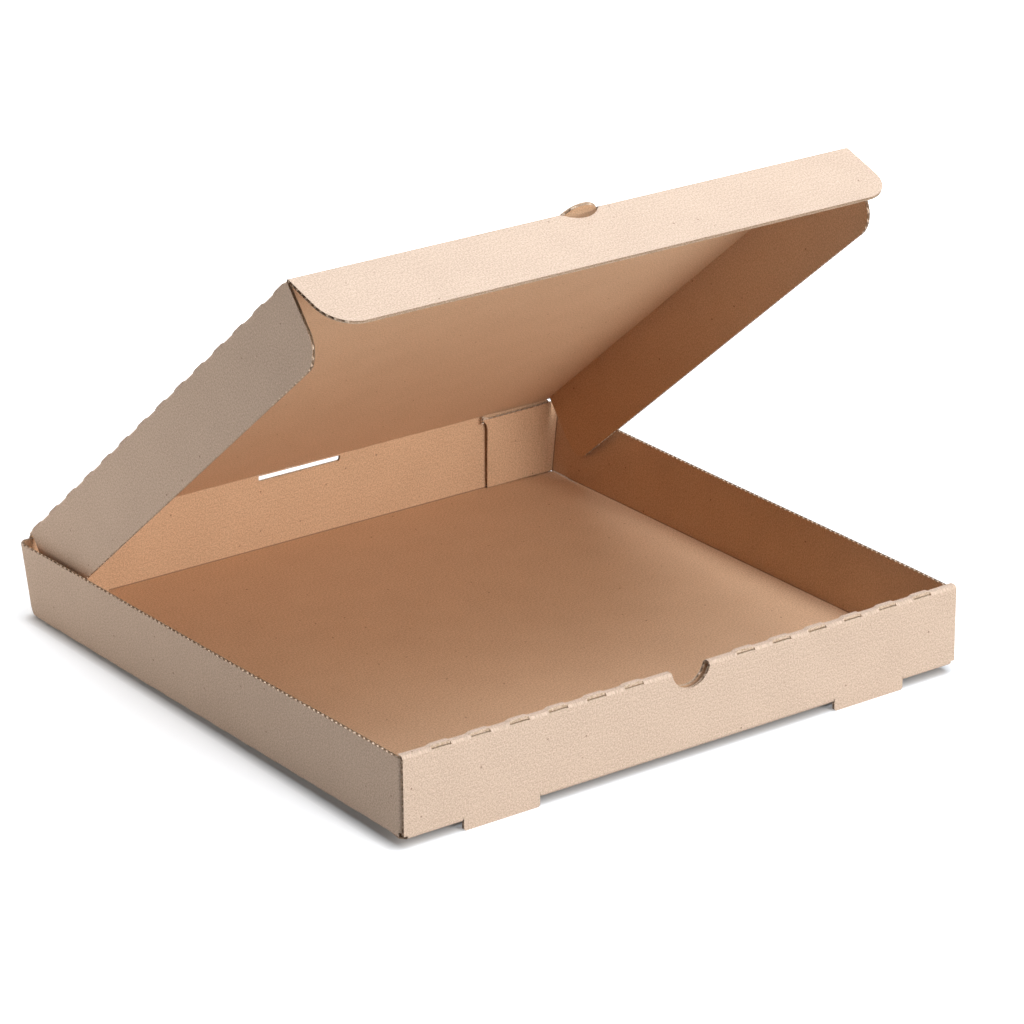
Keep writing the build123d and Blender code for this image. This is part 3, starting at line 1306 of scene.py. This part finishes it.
@dataclass
class Lid:
    """The lid's top panel with its thumb tab, and the frame that its flaps hang from."""

    papers: list[Material]
    board: Board = Board()
    seat: Seat = Seat()
    open_angle: float = 39.5
    hinge_y: float = 329.2
    hinge_z: float = 43.1
    length: float = 315.0
    half_width: float = 162.9
    near: float = 0.8
    hinge_half: float = 161.0
    thumb_radius: float = 12.8
    thumb_rise: float = 7.6
    thumb_bend: float = 18.0
    blank_start: float = 372.0
    unevenness: float = 1.4
    ripple_shift: float = 90.0
    panel_step: float = 18.0

    def __post_init__(self) -> None:
        """Works out the folds' axes and the panel's ends on the flat blank."""
        self.side_fold = self.half_width - self.board.thickness
        self.front_fold = self.length - self.board.half
        self.back_line = self.blank_start + self.near
        self.front_line = self.blank_start + self.front_fold - self.near

    def local(self, x: float, along: float, inward: float) -> Vector:
        """A place of the lid, by its distance from the hinge and depth below the middle plane.

        Args:
            x: Place to the right.
            along: Distance from the hinge.
            inward: Depth below the middle plane, towards the inside.

        Returns:
            The place in the whole box's frame.
        """
        turn = math.radians(self.open_angle)
        y = self.hinge_y - along * math.cos(turn) - inward * math.sin(turn)
        z = self.hinge_z + along * math.sin(turn) - inward * math.cos(turn)
        return self.seat.world(x, y, z)

    def folded(self, u: float, v: float, n: float) -> Vector:
        """Place of a point of the lid's flat panel.

        Args:
            u: Place to the right on the flat blank.
            v: Place to the back on the flat blank.
            n: Height above the middle of the card, towards the inside.

        Returns:
            The place in the whole box's frame.
        """
        along = v - self.blank_start
        edge = self.front_fold - self.near
        if along > edge:
            turn = math.radians(self.thumb_bend)
            past = along - edge
            return self.local(u, edge + past * math.cos(turn), n - past * math.sin(turn))
        inset = fade(self.side_fold - abs(u), along - self.near, edge - along)
        rise = self.unevenness * ripple(u + self.ripple_shift, along) * inset
        return self.local(u, along, n + rise)

    def thumb_arc(self, line: float, gap: float = 0.0) -> list[Point2]:
        """Points of the thumb tab's round cut beyond a line, from right to left.

        Args:
            line: Where the arc starts and ends on the flat blank.
            gap: Room round the tab.

        Returns:
            The points in order.
        """
        radius = self.thumb_radius + gap
        centre = self.blank_start + self.front_fold - self.thumb_rise
        first = math.asin((line - centre) / radius)
        return arc_points((0.0, centre), radius, first, math.pi - first, steps=20)

    def outline(self) -> list[Point2]:
        """Outline of the lid's panel between its folds, with the thumb tab.

        Returns:
            The points in order.
        """
        side, back, front = self.side_fold, self.back_line, self.front_line
        tab = self.thumb_arc(front)
        return [(-side, back), (side, back), (side, front), *tab, (-side, front)]

    def build(self) -> Piece:
        """Builds the lid's panel and lets it stand for its CAD node.

        Returns:
            The piece.
        """
        card = CardMesh(self.board)
        card.panel(self.outline())
        half, back, front = self.hinge_half, self.back_line, self.front_line
        card.score(0, grid(-self.side_fold, self.side_fold, self.panel_step))
        card.score(1, grid(self.blank_start, front, self.panel_step))
        card.score(1, [front])
        card.score(0, [-half, half])
        off_hinge = lambda place: place.y > back + ON_LINE or abs(place.x) < half
        card.layer(lambda place: place.y < front + ON_LINE and off_hinge(place))
        lid = card.fold("lid_card", self.folded, self.papers)
        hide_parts("lid")
        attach(lid, "lid")
        return lid


@dataclass
class FrontFlap:
    """The lid's front flap, folded down, with a hole where the thumb tab was cut out."""

    lid: Lid
    angle: float = 58.0
    height: float = 40.0
    corner: float = 17.0
    near: float = 0.8
    tab_gap: float = 0.35
    sag: float = 0.5
    step_along: float = 12.0
    step_down: float = 9.0

    @property
    def blank_start(self) -> float:
        """Place of the front fold's axis on the flat blank."""
        return self.lid.blank_start + self.lid.front_fold

    def folded(self, u: float, v: float, n: float) -> Vector:
        """Place of a point of the flat flap.

        Args:
            u: Place to the right on the flat blank.
            v: Place to the back on the flat blank.
            n: Height above the middle of the card, towards the inside.

        Returns:
            The place in the whole box's frame.
        """
        along = v - self.blank_start
        turn = math.radians(self.angle)
        bulge = self.sag * math.sin(math.pi * along / self.height)
        depth = n + bulge * wave(u, length=90, shift=0.5) * fade(along)
        ahead = along * math.cos(turn) - depth * math.sin(turn)
        down = along * math.sin(turn) + depth * math.cos(turn)
        return self.lid.local(u, self.lid.front_fold + ahead, down)

    def outline(self) -> list[Point2]:
        """Outline of the flap, from its fold to its rounded corners.

        Returns:
            The points in order.
        """
        near = self.blank_start + self.near
        low = self.blank_start + self.height - self.lid.board.half
        side = self.lid.half_width
        hole = reversed(self.lid.thumb_arc(near, self.tab_gap))
        right = round_corner((side, low), (side, near), (-side, low), self.corner, steps=12)
        left = round_corner((-side, low), (side, low), (-side, near), self.corner, steps=12)
        return [(-side, near), *hole, (side, near), *right, *left]

    def build(self) -> Piece:
        """Builds the flap and lets it stand for its CAD node.

        Returns:
            The piece.
        """
        card = CardMesh(self.lid.board)
        card.panel(self.outline())
        card.score(0, grid(-self.lid.half_width, self.lid.half_width, self.step_along))
        card.score(1, grid(self.blank_start, self.blank_start + self.height, self.step_down))
        near = self.blank_start + self.near
        card.layer(lambda place: abs(place.y - near) < ON_LINE)
        flap = card.fold("lid_front_flap_card", self.folded, self.lid.papers)
        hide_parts("lid_front_flap")
        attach(flap, "lid_front_flap")
        return flap


@dataclass
class SideFlap:
    """One of the lid's side flaps, which hang inside the tray's walls."""

    lid: Lid
    side: Side
    back: float = 3.1
    front: float = 313.0
    drop: float = 38.4
    front_corner: float = 14.0
    rear_corner: float = 9.0
    outward: float = 0.1
    bow_drop: float = 20.0
    bow_top: float = 4.0
    bow_end: float = 6.0
    step_along: float = 12.0
    step_down: float = 9.0

    @property
    def body(self) -> str:
        """Name of the flap's body, which its CAD node shares."""
        return f"lid_{self.side.name.lower()}_flap"

    @property
    def blank_start(self) -> float:
        """Place of the flap's upper edge on the flat blank."""
        return self.lid.side_fold + self.lid.board.half * SQUARE

    def folded(self, u: float, v: float, n: float) -> Vector:
        """Place of a point of the flat flap.

        Args:
            u: Place to the right on the flat blank.
            v: Place to the back on the flat blank.
            n: Height above the middle of the card, towards the inside.

        Returns:
            The place in the whole box's frame.
        """
        lid, half = self.lid, self.lid.board.half
        down = abs(u) - self.blank_start
        along = v - lid.blank_start
        inset = fade(down + self.bow_top, along + self.bow_end, self.front + self.bow_end - along)
        bow = wave(along, depth=0.22, length=57, shift=self.side.value) * inset
        out = lid.side_fold + half - n + min(self.outward, bow) * smooth(down / self.bow_drop)
        return lid.local(self.side.value * out, along, half + down)

    def outline(self) -> list[Point2]:
        """Outline of the flap on the flat blank.

        Returns:
            The points in order.
        """
        top = self.blank_start
        low = self.blank_start + self.drop
        back = self.lid.blank_start + self.back
        front = self.lid.blank_start + self.front
        points = [(top, back), (top, front)]
        points += round_corner((low, front), (top, front), (low, back), self.front_corner, steps=10)
        points += round_corner((low, back), (low, front), (top, back), self.rear_corner, steps=8)
        return [(self.side.value * u, v) for u, v in points]

    def build(self) -> Piece:
        """Builds the flap and lets it stand for its CAD node.

        Returns:
            The piece.
        """
        card = CardMesh(self.lid.board)
        card.panel(self.outline())
        start = self.lid.blank_start
        top = self.side.value * self.blank_start
        card.score(1, grid(start + self.back, start + self.front, self.step_along))
        rows = grid(0, self.drop, self.step_down)
        card.score(0, sorted(top + self.side.value * x for x in rows))
        card.layer(lambda place: abs(place.x - top) < ON_LINE)
        flap = card.fold(f"{self.body}_card", self.folded, self.lid.papers)
        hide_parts(self.body)
        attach(flap, self.body)
        return flap


@dataclass
class Creases:
    """The bent strips of card at the folds that move, which keep the sheet in one piece."""

    tray: Tray
    lid: Lid
    front_flap: FrontFlap
    side_flaps: dict[Side, SideFlap]
    worn: float = 0.22
    hinge_step: float = 2.2
    front_step: float = 14.0
    side_dash: float = 11.0
    side_dash_pitch: float = 22.6
    side_dash_count: int = 14
    side_dash_width: float = 0.28
    side_dash_ramp: float = 3.0
    side_rise: float = 0.75
    side_shifts: tuple[float, ...] = (-2, -1, 0, 1, 2)
    tab_half: float = 11.0

    def hinge(self) -> Piece:
        """The fold between the rear wall and the lid.

        Returns:
            The piece.
        """
        lid, rear_top, start = self.lid, self.tray.rear_top, self.tray.hinge_line
        gap = lid.hinge_z - rear_top
        turn = 90 - lid.open_angle
        length = bend_length(gap, turn)
        path = FoldPath((0.0, rear_top), 90.0, (Run(length, turn),))
        half = lid.hinge_half
        card = CardMesh(lid.board)
        card.panel(rectangle(-half, start, half, start + length))
        card.score(1, grid(start, start + length, length / BEND_STEPS))
        card.score(0, grid(-half, half, self.hinge_step))
        card.layer(lambda place: abs(abs(place.x) - half) > ON_LINE)

        def mapping(u: float, v: float, n: float) -> Vector:
            """Place of a point of the flat strip.

            Args:
                u: Place to the right on the flat blank.
                v: Place to the back on the flat blank.
                n: Height above the middle of the card, towards the inside.

            Returns:
                The place in the whole box's frame.
            """
            share = math.sin(math.pi * clamp((v - start) / length))
            waves = wave(u, length=5.3) * wave(u, length=17, shift=1)
            waves += wave(u, depth=0.6, length=2.9, shift=0.5)
            ahead, up = path.place(v - start, n + self.worn * share * waves)
            return lid.seat.world(u, lid.hinge_y + ahead, up)

        strip = card.fold("hinge_crease", mapping, lid.papers)
        lid.seat.world(0, lid.hinge_y, rear_top) * MM
        lid.local(0, gap, 0) * MM
        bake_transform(strip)
        return strip

    def front(self) -> Piece:
        """The fold between the lid and its front flap, cut away at the thumb tab.

        Returns:
            The piece.
        """
        lid, gap, turn = self.lid, self.lid.near, self.front_flap.angle
        length = bend_length(gap, turn)
        path = FoldPath((-gap, 0.0), 0.0, (Run(length, turn),))
        start, inner, outer = lid.front_line, self.tab_half, lid.half_width
        card = CardMesh(lid.board)
        for side in Side:
            left, right = sorted((side.value * inner, side.value * outer))
            card.panel(rectangle(left, start, right, start + length))
        card.score(1, grid(start, start + length, length / BEND_STEPS))
        card.score(0, grid(-outer, outer, self.front_step))
        card.layer(lambda place: inner + ON_LINE < abs(place.x) < outer - ON_LINE)

        def mapping(u: float, v: float, n: float) -> Vector:
            """Place of a point of the flat strip."""
            ahead, down = path.place(v - start, n)
            return lid.local(u, lid.front_fold + ahead, down)

        strip = card.fold("front_flap_crease", mapping, lid.papers)
        angle = math.radians(turn)
        ahead, down = gap * math.cos(angle), gap * math.sin(angle)
        lid.local(0, lid.front_fold - gap, 0) * MM
        lid.local(0, lid.front_fold + ahead, down) * MM
        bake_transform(strip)
        return strip

    def side(self, side: Side) -> Piece:
        """The dashed fold between the lid and a side flap.

        Args:
            side: Which of the two flaps.

        Returns:
            The piece.
        """
        lid, half, base = self.lid, self.lid.board.half, self.lid.side_fold
        flap = self.side_flaps[side]
        length = half * SQUARE
        low, high = lid.back_line, lid.front_line
        middle, first = (low + high) / 2, (self.side_dash_count - 1) / 2
        places = range(self.side_dash_count)
        dashes = [middle + self.side_dash_pitch * (place - first) for place in places]
        across = side.value * (base + length / 2)
        width = self.side_dash_width
        slits = [slit(dash, across, self.side_dash, width, True) for dash in dashes]
        corners = rectangle(base, low, base + length, high)
        card = CardMesh(lid.board)
        card.panel([(side.value * u, v) for u, v in corners], slits)
        rows = grid(0, length, length / BEND_STEPS)
        card.score(0, sorted(side.value * (base + x) for x in rows))
        card.score(1, dash_ends(dashes, self.side_dash, self.side_shifts))
        card.layer(lambda place: low + ON_LINE < place.y < high - ON_LINE)

        def mapping(u: float, v: float, n: float) -> Vector:
            """Place of a point of the flat strip, with a cut corner that stands out at a dash.

            Args:
                u: Place to the right on the flat blank.
                v: Place to the back on the flat blank.
                n: Height above the middle of the card, towards the inside.

            Returns:
                The place in the whole box's frame.
            """
            turn = SQUARE * clamp((abs(u) - base) / length)
            dash = dash_share(v, dashes, self.side_dash, self.side_dash_ramp)
            radius = half - n
            share = radius / lid.board.thickness
            corner = 1.0 / max(math.cos(turn), math.sin(turn)) - 1.0
            radius *= 1.0 + dash * corner * share * (1.0 + self.side_rise)
            out = base + radius * math.sin(turn)
            inward = half - radius * math.cos(turn)
            return lid.local(side.value * out, v - lid.blank_start, inward)

        strip = card.fold(f"{flap.body}_crease", mapping, lid.papers)
        along = lid.front_fold / 2
        flap.body
        lid.local(side.value * base, along, 0) * MM
        lid.local(side.value * (base + half), along, half) * MM
        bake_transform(strip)
        return strip

    def build(self) -> list[Piece]:
        """Builds the four creases."""
        return [self.hinge(), self.front(), *(self.side(side) for side in Side)]


@dataclass(frozen=True)
class Lamp:
    """A soft square lamp that faces the box, in metres and watts."""

    name: str
    place: Point3
    size: float
    power: float
    tint: Point3 = (1.0, 1.0, 1.0)
    target: Point3 = (0.0, 0.0, 0.1)

    def build(self) -> None:
        """Puts the lamp in its place, out of the camera's sight."""
        light = bpy.data.lights.new(self.name, "AREA")
        light.shape = "SQUARE"
        light.size = self.size
        light.energy = self.power
        light.color = self.tint
        lamp = stand(self.name, light)
        lamp.location = self.place
        aim = Vector(self.target) - Vector(self.place)
        lamp.rotation_mode = "QUATERNION"
        lamp.rotation_quaternion = aim.to_track_quat("-Z", "Y")
        lamp.visible_camera = False


LAMPS = (
    Lamp("front_softbox", (0.3, -5.2, 0.9), 1.8, 85.0),
    Lamp("front_right_softbox", (2.2, -4.7, 0.9), 1.8, 45.0),
    Lamp("far_high_softbox", (0.9, -4.2, 2.3), 1.8, 92.0),
    Lamp("high_front_softbox", (0.4, -1.8, 1.8), 1.4, 10.0),
    Lamp("overhead_softbox", (0.3, -0.3, 2.2), 1.6, 51.0, (0.92, 1.0, 1.11)),
    Lamp("high_rear_softbox", (0.2, 1.6, 1.9), 1.4, 20.0),
    Lamp("rear_left_softbox", (-0.75, 0.6, 0.22), 0.4, 3.2, (1.0, 0.92, 0.85)),
)


@dataclass(frozen=True)
class Studio:
    """A white floor and backdrop, soft lamps and the camera, in metres."""

    location: Point3 = (-1.212875, -1.666960, 0.918017)
    ahead: Point3 = (0.549058, 0.744270, -0.380260)
    roll: float = 0.1227
    lens: float = 159.127
    sensor: float = 36.0
    clip: Point2 = (0.05, 60.0)
    floor_size: float = 14.0
    floor_grey: Colour = (0.6, 0.6, 0.6, 1)
    white: Colour = (1, 1, 1, 1)
    shade_half: Point2 = (0.164, 0.157)
    near_glow: Colour = (0.0, 0.01, 0.05, 0.5)
    far_glow: Colour = (0.08, 0.45, 0.0, 0.5)

    def floor_paint(self) -> Material:
        """Makes the floor's paint, which shows white except for the shadow about the box.

        Returns:
            The material.
        """
        paint = bpy.data.materials.new("white_floor")
        paint.use_nodes = True
        bench = NodeBench(paint.node_tree)
        matt = bench.add("ShaderNodeBsdfDiffuse", {"Color": self.floor_grey}).outputs[0]
        place = bench.add("ShaderNodeTexCoord").outputs["Object"]
        sides = bench.add("ShaderNodeSeparateXYZ", {"Vector": place}).outputs
        squares = []
        for name, half in zip(("X", "Y"), self.shade_half):
            past = bench.math("SUBTRACT", bench.math("ABSOLUTE", sides[name]), half)
            squares.append(bench.math("POWER", bench.math("MAXIMUM", past, 0.0), 2.0))
        away = bench.math("SQRT", bench.math("ADD", *squares))
        glows = [bench.ramp(away, *glow) for glow in (self.near_glow, self.far_glow)]
        level = bench.math("MULTIPLY", bench.seen(), bench.math("ADD", *glows))
        glow = bench.add("ShaderNodeEmission", {"Color": self.white, "Strength": level}).outputs[0]
        both = bench.add("ShaderNodeAddShader", {0: matt, 1: glow}).outputs[0]
        bench.add("ShaderNodeOutputMaterial", {"Surface": both})
        return paint

    def floor(self) -> None:
        """Lays the floor, which shows white to the camera and keeps the shadow."""
        shape = bmesh.new()
        bmesh.ops.create_grid(shape, x_segments=2, y_segments=2, size=self.floor_size / 2)
        mesh = bpy.data.meshes.new("floor")
        shape.to_mesh(mesh)
        shape.free()
        mesh.materials.append(self.floor_paint())
        floor = stand("floor", mesh)

    def world(self) -> None:
        """Sets a surround that is white to the camera and gives the box no light."""
        world = bpy.data.worlds.new("white_surround")
        bpy.context.scene.world = world
        world.use_nodes = True
        bench = NodeBench(world.node_tree)
        inputs = {"Color": self.white, "Strength": bench.seen()}
        back = bench.add("ShaderNodeBackground", inputs).outputs[0]
        bench.add("ShaderNodeOutputWorld", {"Surface": back})

    def camera(self) -> None:
        """Sets the camera at the photograph's viewing angle."""
        data = bpy.data.cameras.new("camera")
        data.lens = self.lens
        data.sensor_width = self.sensor
        data.clip_start, data.clip_end = self.clip
        camera = stand("camera", data)
        camera.location = self.location
        camera.rotation_mode = "QUATERNION"
        level = Vector(self.ahead).to_track_quat("-Z", "Y")
        camera.rotation_quaternion = level @ Quaternion((0, 0, 1), math.radians(self.roll))
        bpy.context.scene.camera = camera

    def build(self) -> None:
        """Sets the floor, the light and the camera."""
        self.floor()
        self.world()
        for lamp in LAMPS:
            lamp.build()
        self.camera()
        bpy.context.scene.view_settings.view_transform = "Standard"


def main() -> None:
    """Builds the box piece by piece and logs the number of faces of each piece."""
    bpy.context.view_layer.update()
    pulp = pulp_group()
    papers = [finish.material(pulp) for finish in (OUTER_LINER, INNER_LINER, CUT_EDGE)]
    tray = Tray(papers)
    lid = Lid(papers)
    front_flap = FrontFlap(lid)
    side_flaps = {side: SideFlap(lid, side) for side in Side}
    creases = Creases(tray, lid, front_flap, side_flaps)
    pieces = [tray.build(), lid.build(), front_flap.build()]
    pieces += [flap.build() for flap in side_flaps.values()]
    pieces += creases.build()
    for piece in pieces:
        log.info("%s: %d faces", piece.name, len(piece.data.polygons))
    Studio().build()


if __name__ == "__main__":
    logging.basicConfig(level=logging.INFO, format="%(name)s: %(message)s")
    main()
